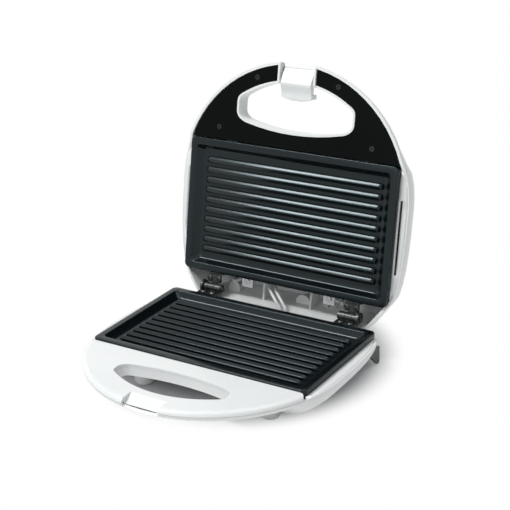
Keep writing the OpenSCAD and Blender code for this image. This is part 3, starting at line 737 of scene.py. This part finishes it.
# ---------------------------------------------------------------- grill plates
@dataclass
class GrillPlate:
    """A pressed plate: flat rim, sloped inner wall and a floor with rounded ribs."""

    half: RimFrame
    width: float = 220.0
    depth: float = 129.0
    corner: float = 5.0
    rim: float = 7.0
    slope: float = 6.0
    side_slope: float = 9.0
    height: float = 9.2
    floor: float = -7.0
    ribs: int = 10
    pitch: float = 9.7
    rib_height: float = 4.2
    rib_run: float = 0.6  # how far a rib runs into the side wall
    rib_sink: float = 0.02  # how far it stands in the floor
    rib_tip: float = 0.55  # share of its width at its ends
    corner_steps: int = 8
    posts: tuple = ((84.0, -17.0), (-84.0, -17.0), (84.0, -112.0), (-84.0, -112.0))
    post_radius: float = 4.0
    post_reach: float = 7.8
    post_sides: int = 24
    post_sink: float = 0.1
    clamp_post_reach: float = 3.4
    smooth: float = 50.0

    def _ring(self, inset: float, z: float, corner: float, share: float = 0.0) -> list[Point]:
        """A rounded rectangle.

        Args:
            inset: distance inside the plate's outline.
            z: height.
            corner: corner radius.
            share: how far down the inner wall it lies, from 0 to 1.

        Returns:
            The same number of points for every ring.
        """
        points = []
        half_w = self.width / 2 - inset - share * self.side_slope
        half_d = self.depth / 2 - inset - share * self.slope
        for start, sx, sy in ((0, 1, 1), (90, -1, 1), (180, -1, -1), (270, 1, -1)):
            for step in range(self.corner_steps + 1):
                a = math.radians(start + 90 * step / self.corner_steps)
                points.append((sx * (half_w - corner) + corner * math.cos(a),
                               sy * (half_d - corner) + corner * math.sin(a) - self.depth / 2, z))
        return points

    def _tray(self, bm: bmesh.types.BMesh) -> None:
        """Builds the plate without its ribs.

        Args:
            bm: the mesh to add to.
        """
        r, c, z = self.rim, self.corner, self.floor
        rings = [  # from the back, round the edge and over the rim to the floor: see _ring
            (8.0, -self.height, 3.0, 0.0), (1.4, -self.height, c - 1.2, 0.0),
            (0.5, -self.height + 0.4, c - 0.4, 0.0), (0.0, -self.height + 1.4, c, 0.0),
            (0.0, -1.0, c, 0.0), (0.15, -0.45, c - 0.1, 0.0), (0.5, -0.12, c - 0.4, 0.0),
            (1.1, 0.0, c - 0.8, 0.0), (r - 1.2, 0.0, 4.0, 0.0), (r - 0.6, -0.12, 4.0, 0.0),
            (r - 0.2, -0.42, 4.0, 0.0), (r, -0.85, 4.0, 0.0), (r, -1.5, 4.0, 0.05),
            (r, z + 1.9, 4.0, 0.43), (r, z + 1.15, 4.0, 0.52), (r, z + 0.6, 3.8, 0.64),
            (r, z + 0.22, 3.6, 0.8), (r, z + 0.03, 3.4, 1.0), (r + 1.5, z, 3.0, 1.1),
        ]
        loops = [[bm.verts.new(p) for p in self._ring(*ring)] for ring in rings]
        for low, high in zip(loops, loops[1:]):
            for k, nxt in zip(range(len(low)), [*range(1, len(low)), 0]):
                bm.faces.new((low[k], low[nxt], high[nxt], high[k]))
        bm.faces.new(loops[-1])
        bm.faces.new(list(reversed(loops[0])))
        posts = [(x, y, self.post_reach) for x, y in self.posts]
        for x, y, reach in posts + [(0.0, -self.depth / 2, self.clamp_post_reach)]:
            made = bmesh.ops.create_cone(
                bm, cap_ends=True, segments=self.post_sides, radius1=self.post_radius,
                radius2=self.post_radius, depth=reach)
            middle = -self.height - reach / 2 + self.post_sink
            bmesh.ops.translate(bm, verts=made["verts"], vec=(x, y, middle))

    def _rib(self) -> bmesh.types.BMesh:
        """Builds one rib with rounded ends, at the plate's middle.

        Returns:
            The rib's mesh.
        """
        half = [  # distance from the rib's middle and height, from its foot to its crest
            (3.2, 0.0), (3.12, 0.35), (3.05, 1.2), (3.0, 2.1), (2.95, 2.35), (2.85, 2.53),
            (2.7, 2.66), (2.2, 3.0), (1.7, 3.32), (1.2, 3.62), (0.7, 3.9), (0.3, 4.1), (0.1, 4.18),
            (0.0, self.rib_height)]
        section = [(-a, b) for a, b in half] + [(a, b) for a, b in reversed(half[:-1])]
        reach = self.width / 2 - self.rim - self.side_slope + self.rib_run
        # distance from the rib's end and the share of its full size that it has there
        ends = [(0.0, 0.0), (0.5, 0.3), (1.2, 0.6), (2.0, 0.82), (3.0, 0.94), (4.4, 1.0)]
        stations = [(-reach + a, b) for a, b in ends] + [(reach - a, b) for a, b in reversed(ends)]
        bm = bmesh.new()
        foot = self.floor - self.rib_sink
        loops = []
        for x, tall in stations:
            wide = self.rib_tip + (1.0 - self.rib_tip) * tall
            loops.append([bm.verts.new((x, a * wide, foot + b * tall)) for a, b in section])
        for left, right in zip(loops, loops[1:]):
            for k in range(len(section) - 1):
                bm.faces.new((left[k], right[k], right[k + 1], left[k + 1]))
            bm.faces.new((left[0], left[-1], right[-1], right[0]))
        bmesh.ops.remove_doubles(bm, verts=bm.verts, dist=1e-4)
        return bm

    def build(self, name: str, node: str) -> Any:
        """Makes the plate and its ribs as one piece.

        Args:
            name: the piece's name.
            node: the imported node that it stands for.

        Returns:
            The piece.
        """
        bm = bmesh.new()
        self._tray(bm)
        tray = MeshShop.piece(name, bm, COATING, self.smooth)
        ribs = MeshShop.piece(f"{name}_ribs", self._rib(), COATING, self.smooth)
        tool = NodeTool("rib_row", {"Count": "NodeSocketInt", "Pitch": "NodeSocketFloat",
                                    "Start": "NodeSocketFloat"})
        offset = tool.node("ShaderNodeCombineXYZ", None, {1: tool.given("Pitch")})
        start = tool.node("ShaderNodeCombineXYZ", None, {1: tool.given("Start")})
        row = tool.node("GeometryNodeMeshLine", {"mode": "OFFSET"},
                        {"Count": tool.given("Count"), "Offset": offset.outputs[0],
                         "Start Location": start.outputs[0]})
        placed = tool.node("GeometryNodeInstanceOnPoints", None,
                           {"Points": row.outputs[0], "Instance": tool.given("Geometry")})
        tool.end(placed.outputs[0])
        first = -self.depth / 2 - (self.ribs - 1) * self.pitch / 2
        tool.run(ribs, Count=self.ribs, Pitch=self.pitch, Start=first, Finish=COATING.material())
        both = bmesh.new()
        both.from_mesh(tray.data)
        both.from_mesh(ribs.data)
        bpy.data.objects.remove(ribs)
        self.half.place(both)
        both.to_mesh(tray.data)
        both.free()
        tray.data.shade_smooth()
        tray.data.set_sharp_from_angle(angle=math.radians(self.smooth))
        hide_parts(node)
        return ride(tray, self.half.body)


# ---------------------------------------------------------------- ledges
@dataclass
class SideLedges:
    """The moulded ledges that close the gap between a plate's side walls and the housing."""

    half: RimFrame
    housing: str
    drop: float
    slit_half: float = 0.0
    slit: tuple[float, float] = (111.9, 114.1)
    inner: float = 109.6
    depth: float = 129.0
    rear_end: float = -5.0
    front_gap: float = 0.6
    front_inset: float = 0.4
    tuck: float = 1.1  # how far the ledge ends inside the wall's outside
    rise: float = 0.5  # how much higher it is beside the plate
    thickness: float = 1.3
    lip: float = 0.6  # height of the wall that counts as its lip
    sampling: float = 2.0
    near: float = 0.01
    smooth: float = 40.0

    def _wall(self) -> list[tuple[float, float]]:
        """Finds the housing's side wall at its lip.

        Returns:
            y and x of the wall's outside, from front to back, in mm.
        """
        inverse = self.half.matrix.inverted()
        reach: dict[int, tuple[float, float]] = {}
        for vert in frame["nodes"][self.housing].data.vertices:
            x, y, z = inverse @ vert.co
            beside = x > self.inner and -self.depth < y < self.rear_end + 1.0
            if beside and z > -self.drop - self.lip:
                key = round(y / self.sampling)
                if x > reach.get(key, (0.0, 0.0))[1]:
                    reach[key] = (y, x)
        return [reach[key] for key in sorted(reach)]

    def _in_slit(self, y: float) -> bool:
        """Tells whether a place along the ledge lies beside the slit."""
        return bool(self.slit_half) and abs(y + self.depth / 2) <= self.slit_half + self.near

    def _stations(self) -> list[tuple[float, float]]:
        """The wall's points with the ledge's two ends and the slit's two ends.

        Returns:
            y and x, from front to back, in mm.
        """
        wall = self._wall()
        front = (-self.depth + self.front_gap, wall[0][1] - self.front_inset)
        wall = [front, *wall[1:-1], (self.rear_end, wall[-1][1])]
        for stop in (-self.slit_half, self.slit_half) if self.slit_half else ():
            stop -= self.depth / 2
            k = next(i for i, (y, _) in enumerate(wall) if y > stop)
            (ya, xa), (yb, xb) = wall[k - 1], wall[k]
            wall.insert(k, (stop, xa + (xb - xa) * (stop - ya) / (yb - ya)))
        return wall

    def build(self, name: str) -> Any:
        """Makes both ledges as one piece.

        Args:
            name: the piece's name.

        Returns:
            The piece.
        """
        wall = self._stations()
        bm = bmesh.new()
        for side in (1, -1):
            rows = []
            for y, x in wall:
                outer = x - self.tuck
                thirds = [self.inner + share * (outer - self.inner) for share in (0.3, 0.6)]
                cut = self.slit if self._in_slit(y) else thirds
                rows.append([bm.verts.new((side * c, y, -self.drop + self.rise * (1 - k / 3)))
                             for k, c in enumerate((self.inner, *cut, outer))])
            for (front, back), low, high in zip(zip(wall, wall[1:]), rows, rows[1:]):
                open_here = self._in_slit(front[0]) and self._in_slit(back[0])
                for band in (0, 2) if open_here else (0, 1, 2):
                    face = (low[band], low[band + 1], high[band + 1], high[band])
                    bm.faces.new(face if side > 0 else face[::-1])
        self.half.place(bm)
        obj = MeshShop.piece(name, bm, WHITE, self.smooth)
        solid = obj.modifiers.new("thickness", "SOLIDIFY")
        solid.thickness = self.thickness * MM
        solid.offset = -1.0
        MeshShop.settle(obj)
        return ride(obj, self.half.body)


# ---------------------------------------------------------------- leads
@dataclass
class Leads:
    """The sleeved leads between the terminal block and the two elements."""

    base: RimFrame
    lid: RimFrame
    diameter: float = 2.7
    step: float = 1.2
    sides: int = 12
    bend_start: Point = (0.0, 13.76, -0.62)
    bend_end: Point = (0.0, 15.5, 1.7)
    to_lid: list = field(default_factory=lambda: [
        ([(-24, 2, -19.5), (-24, 2, -17.1), (-20, 3.5, -15.5), (-7, 8.5, -15.5), (2.8, 12, -11),
          (2.2, 13.1, -6.5), (-0.8, 13.8, -3), (-3.9, 14.6, 0.5)],
         [(-11, 10.4, -4.2), (-17.5, 6.4, -9.6), (-24, 3.6, -15), (-36, 3.2, -17.2),
          (-50, 4.5, -16.8), (-58, 7.6, -14.6), (-60, 7.8, -13), (-60, 5.3, -12.5)]),
        ([(-16, 2, -19.5), (-16, 2, -17.1), (-11, 3, -18), (2, 8, -19), (7.5, 12.3, -16),
          (9.2, 12.6, -10.5), (8.5, 12.7, -5), (5.8, 13.7, -2.3), (3.1, 14.6, 0.5)],
         [(-4, 10.4, -4.4), (-10.6, 6.2, -9.6), (-12, 3.6, -15), (-2, 3, -18), (20, 3, -18),
          (42, 4, -17), (56, 7, -15), (60, 7.8, -13), (60, 5.3, -12.5)])])
    to_base: list = field(default_factory=lambda: [
        [(-31, 2, -19.5), (-31, 2, -17.1), (-33, 5, -14), (-42, 13, -12), (-54, 13, -12.2),
         (-60, 9, -12.5), (-60, 5.3, -12.5)],
        [(-9, 2, -19.5), (-9, 2, -17.1), (-4, 4, -15), (15, 12, -13), (42, 13.5, -12.5),
         (54, 13, -12.3), (60, 9, -12.5), (60, 5.3, -12.5)]])

    def _tube(self, name: str, routes: list[list[Vector]]) -> Any:
        """Runs a sleeved tube along each route.

        Args:
            name: the piece's name.
            routes: points in metres.

        Returns:
            The piece.
        """
        bm = bmesh.new()
        for route in routes:
            verts = [bm.verts.new(p) for p in route]
            for a, b in zip(verts, verts[1:]):
                bm.edges.new((a, b))
        obj = MeshShop.piece(name, bm, SLEEVE)
        tool = NodeTool("lead", {"Radius": "NodeSocketFloat", "Step": "NodeSocketFloat"})
        curve = tool.node("GeometryNodeMeshToCurve", None, {0: tool.given("Geometry")})
        smooth = tool.node("GeometryNodeCurveSplineType", {"spline_type": "CATMULL_ROM"},
                           {0: curve.outputs[0]})
        fine = tool.node("GeometryNodeResampleCurve", {"mode": "LENGTH"},
                         {"Curve": smooth.outputs[0], "Length": tool.given("Step")})
        ring = tool.node("GeometryNodeCurvePrimitiveCircle", None,
                         {"Resolution": self.sides, "Radius": tool.given("Radius")})
        marks = []
        for source, kind in ((fine, "Length"), (ring, "Factor")):
            mark = tool.node("GeometryNodeCaptureAttribute", None, {0: source.outputs[0]})
            mark.capture_items.new("FLOAT", "mark")
            place = tool.node("GeometryNodeSplineParameter")
            tool.tree.links.new(place.outputs[kind], mark.inputs[1])
            marks.append(mark)
        tube = tool.node("GeometryNodeCurveToMesh", None,
                         {"Curve": marks[0].outputs[0], "Profile Curve": marks[1].outputs[0],
                          "Fill Caps": True})
        stored = tube.outputs[0]
        for mark, title in zip(marks, (ALONG, AROUND)):
            keep = tool.node("GeometryNodeStoreNamedAttribute",
                             {"data_type": "FLOAT", "domain": "POINT"},
                             {"Geometry": stored, "Name": title, "Value": mark.outputs[1]})
            stored = keep.outputs[0]
        shade = tool.node("GeometryNodeSetShadeSmooth", None, {"Geometry": stored})
        tool.end(shade.outputs[0])
        return tool.run(obj, Radius=self.diameter / 2 * MM, Step=self.step * MM,
                        Finish=SLEEVE.material())

    def build(self) -> None:
        """Makes the four leads."""
        crossing = [[self.base.at(p) for p in low] + [self.lid.at(p) for p in high]
                    for low, high in self.to_lid]
        flexing = self._tube("hinge_leads", crossing)
        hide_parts("lid_wires")
        tuple(self.base.at(self.bend_start))
        tuple(self.base.at(self.bend_end))
        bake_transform(flexing)
        LOG.info("%s bends at the hinge, %d faces", flexing.name, len(flexing.data.polygons))
        fixed = self._tube("base_leads", [[self.base.at(p) for p in r] for r in self.to_base])
        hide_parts("base_wires")
        ride(fixed, "base")


# ---------------------------------------------------------------- carried parts
@dataclass(frozen=True)
class Moulding:
    """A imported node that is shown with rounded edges."""

    node: str
    body: str
    finish: Finish
    edge: float
    segments: int = 2


@dataclass
class Mouldings:
    """The shells, handle parts, brackets and legs, with their edges rounded."""

    lid: RimFrame
    panel_rear: float = -131.7
    panel_seam: float = -129.7
    panel_edge: float = 0.4
    parts: tuple = (
        Moulding("base_housing", "base", WHITE, 0.5),
        Moulding("base_handle_cover", "base", WHITE, 0.6, 3),
        Moulding("lid_housing", "lid", WHITE, 0.45),
        Moulding("latch", "latch", WHITE, 0.7, 3),
        Moulding("lid_handle_panel", "lid", PANEL, 0.3),
        Moulding("rear_legs", "base", CHARCOAL, 0.5),
        Moulding("base_hinge_brackets", "base", DARK_STEEL, 0.35),
        Moulding("lid_hinge_brackets", "lid", DARK_STEEL, 0.35),
    )

    def _close_seam(self, point: Vector) -> Vector:
        """Brings the handle panel's rear edge up to the plate.

        Args:
            point: a point of the panel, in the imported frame.

        Returns:
            Its new place.
        """
        x, y, z = self.lid.matrix.inverted() @ point
        rear = y > self.panel_rear - self.panel_edge
        return self.lid.at((x, self.panel_seam if rear else y, z))

    def build(self) -> None:
        """Makes each part."""
        for part in self.parts:
            reshape = self._close_seam if part.node == "lid_handle_panel" else None
            obj = MeshShop.carried(part.node, part.finish, part.edge, part.segments, reshape)
            ride(obj, part.body)


@dataclass
class Fittings:
    """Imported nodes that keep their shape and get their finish."""

    finishes: dict = field(default_factory=lambda: {
        "base_cover_screws": BRIGHT_STEEL, "cord_grommet": RUBBER, "base_heating_element": SHEATH,
        "base_element_clamp": BRIGHT_STEEL, "base_heat_shield": ALUMINIUM,
        "base_shield_screws": BRIGHT_STEEL, "base_tab_screws": BRIGHT_STEEL, "thermostat": CERAMIC,
        "thermal_fuse": CERAMIC, "terminal_block": CERAMIC, "base_hinge_screws": DARK_STEEL,
        "hinge_pins": DARK_STEEL, "lid_panel_screws": BLACKED, "lid_heating_element": SHEATH,
        "lid_element_clamp": BRIGHT_STEEL, "lid_heat_shield": ALUMINIUM,
        "lid_shield_screws": BRIGHT_STEEL, "lid_tab_screws": BRIGHT_STEEL, "lamp_lenses": LENS,
        "indicator_lamps": LAMP, "lid_hinge_screws": DARK_STEEL, "latch_pin": BRIGHT_STEEL})

    def dress(self) -> None:
        """Gives each node its finish."""
        for node, finish in self.finishes.items():
            for place in frame["nodes"][node].material_slots:
                place.material = finish.material()
            LOG.info("%s takes %s", node, finish.name)


# ---------------------------------------------------------------- stage
@dataclass(frozen=True)
class SoftLight:
    """A rectangular lamp: its place and its size along X and across it, in metres; its watts."""

    name: str
    place: Point
    size: tuple[float, float]
    watts: float


@dataclass
class Stage:
    """Pale floor with a painted shadow under the object, soft lights and the camera."""

    camera_at: Point = (0.59198, -0.88905, 0.55109)
    back: Point = (0.49796, -0.78134, 0.37622)
    right: Point = (0.84330, 0.53745, 0.0)
    roll: float = math.radians(-2.06)
    lens: float = 93.0
    sensor: float = 36.0
    # painted shadow: the grey colour of the floor round the object stands in for its contact shadow
    painted_shadow: Colour = (0.7, 0.705, 0.715)
    bounce: Colour = (0.82, 0.82, 0.82)
    floor_half: float = 6.0
    floor_drop: float = 0.0002
    shade_centre: Point = (-0.02, 0.045, 0.0)  # of the painted shadow, the grey paper round the object
    shade_reach: float = 0.114  # where it starts to fade
    shade_fade: float = 0.040
    sky: Colour = (0.97, 0.985, 1.0)
    surround: float = 0.34
    aim: Point = (0.0, 0.0, 0.08)
    lights: tuple = (
        SoftLight("softbox", (-1.14, -1.12, 2.6), (1.25, 0.5), 60.0),
        SoftLight("overhead", (0.3, 0.1, 1.4), (0.9, 0.9), 4.0),
        SoftLight("front", (-0.2, -1.5, 0.8), (1.0, 1.0), 3.2),
    )

    @staticmethod
    def _stand(data: Any, axes: Sequence[Vector], place: Point) -> Any:
        """Places a camera or a light.

        Args:
            data: the camera's or light's data.
            axes: its right, its up and its backward direction.
            place: where it stands, in metres.

        Returns:
            The object.
        """
        thing = bpy.data.objects.new(data.name, data)
        rows = [[*(axis[k] for axis in axes), place[k]] for k in range(3)]
        thing.matrix_world = Matrix([*rows, (0.0, 0.0, 0.0, 1.0)])
        bpy.context.scene.collection.objects.link(thing)
        return thing

    def _camera(self) -> None:
        """Sets up the camera."""
        back, right = Vector(self.back), Vector(self.right)
        up = back.cross(right)
        across = math.cos(self.roll) * right + math.sin(self.roll) * up
        over = -math.sin(self.roll) * right + math.cos(self.roll) * up
        data = bpy.data.cameras.new("camera")
        data.lens = self.lens
        data.sensor_width = self.sensor
        bpy.context.scene.camera = self._stand(data, (across, over, back), self.camera_at)

    def _light(self, light: SoftLight) -> None:
        """Adds one soft light.

        Args:
            light: what it is and where it stands.
        """
        data = bpy.data.lights.new(light.name, "AREA")
        data.shape = "RECTANGLE"
        data.size, data.size_y = light.size
        data.energy = light.watts
        away = (Vector(light.place) - Vector(self.aim)).normalized()
        across = (Vector((1.0, 0.0, 0.0)) - away.x * away).normalized()
        self._stand(data, (across, away.cross(across), away), light.place)

    def _floor(self) -> None:
        """Lays the floor: grey paper round the object as a painted shadow, which also takes the
        object's real shadow and fades to white.
        """
        bm = bmesh.new()
        bmesh.ops.create_grid(bm, x_segments=2, y_segments=2, size=self.floor_half)
        mesh = bpy.data.meshes.new("floor")
        bm.to_mesh(mesh)
        bm.free()
        floor = bpy.data.objects.new("floor", mesh)
        floor.location.z = -self.floor_drop
        bpy.context.scene.collection.objects.link(floor)
        r = Recipe("floor_painted_shadow")
        # painted shadow: grey paper within shade_reach of shade_centre, fading to white beyond; the
        # lamps' real shadow falls on it too
        reach = Value(r, r.node("ShaderNodeVectorMath", {"operation": "DISTANCE"},
                                {0: r.coords(), 1: self.shade_centre}).outputs["Value"])
        bounce = r.node("ShaderNodeBsdfDiffuse", None, {"Color": self.bounce})
        painted_shadow = r.node("ShaderNodeBsdfDiffuse", None, {"Color": self.painted_shadow})
        white = r.node("ShaderNodeEmission", None, {"Color": (1.0, 1.0, 1.0), "Strength": 1.0})
        shown = r.node("ShaderNodeMixShader", None,
                       {0: reach.above(self.shade_reach, self.shade_fade), 1: painted_shadow.outputs[0],
                        2: white.outputs[0]})
        mix = r.node("ShaderNodeMixShader", None,
                     {0: r.seen(), 1: bounce.outputs[0], 2: shown.outputs[0]})
        r.node("ShaderNodeOutputMaterial", None, {"Surface": mix.outputs[0]})
        mesh.materials.append(r.material)

    def _world(self) -> None:
        """Fills the surroundings: plain light for the object, white where they are seen."""
        world = bpy.data.worlds.new("studio")
        bpy.context.scene.world = world
        world.use_nodes = True
        tree = Tree(world.node_tree)
        tree.tree.nodes.clear()
        dim = tree.node("ShaderNodeBackground", None,
                        {"Color": self.sky, "Strength": self.surround})
        white = tree.node("ShaderNodeBackground", None,
                          {"Color": (1.0, 1.0, 1.0), "Strength": 1.0})
        mix = tree.node("ShaderNodeMixShader", None,
                        {0: tree.seen(), 1: dim.outputs[0], 2: white.outputs[0]})
        tree.node("ShaderNodeOutputWorld", None, {"Surface": mix.outputs[0]})

    def build(self) -> None:
        """Sets the stage."""
        bpy.context.scene.view_settings.view_transform = "Standard"
        self._camera()
        self._floor()
        self._world()
        for light in self.lights:
            self._light(light)


def main() -> None:
    """Builds the toaster's looks in order."""
    logging.basicConfig(level=logging.INFO, format="%(name)s: %(message)s")
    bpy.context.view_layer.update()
    Stage().build()
    places = Places()
    base, lid = places.base(), places.lid()
    Mouldings(lid).build()
    Fittings().dress()
    GrillPlate(base).build("base_plate", "base_grill_plate")
    GrillPlate(lid).build("lid_plate", "lid_grill_plate")
    SideLedges(base, "base_housing", 6.0).build("base_ledges")
    SideLedges(lid, "lid_housing", 6.5, slit_half=34.0).build("lid_ledges")
    Leads(base, lid).build()


if __name__ == "__main__":
    main()
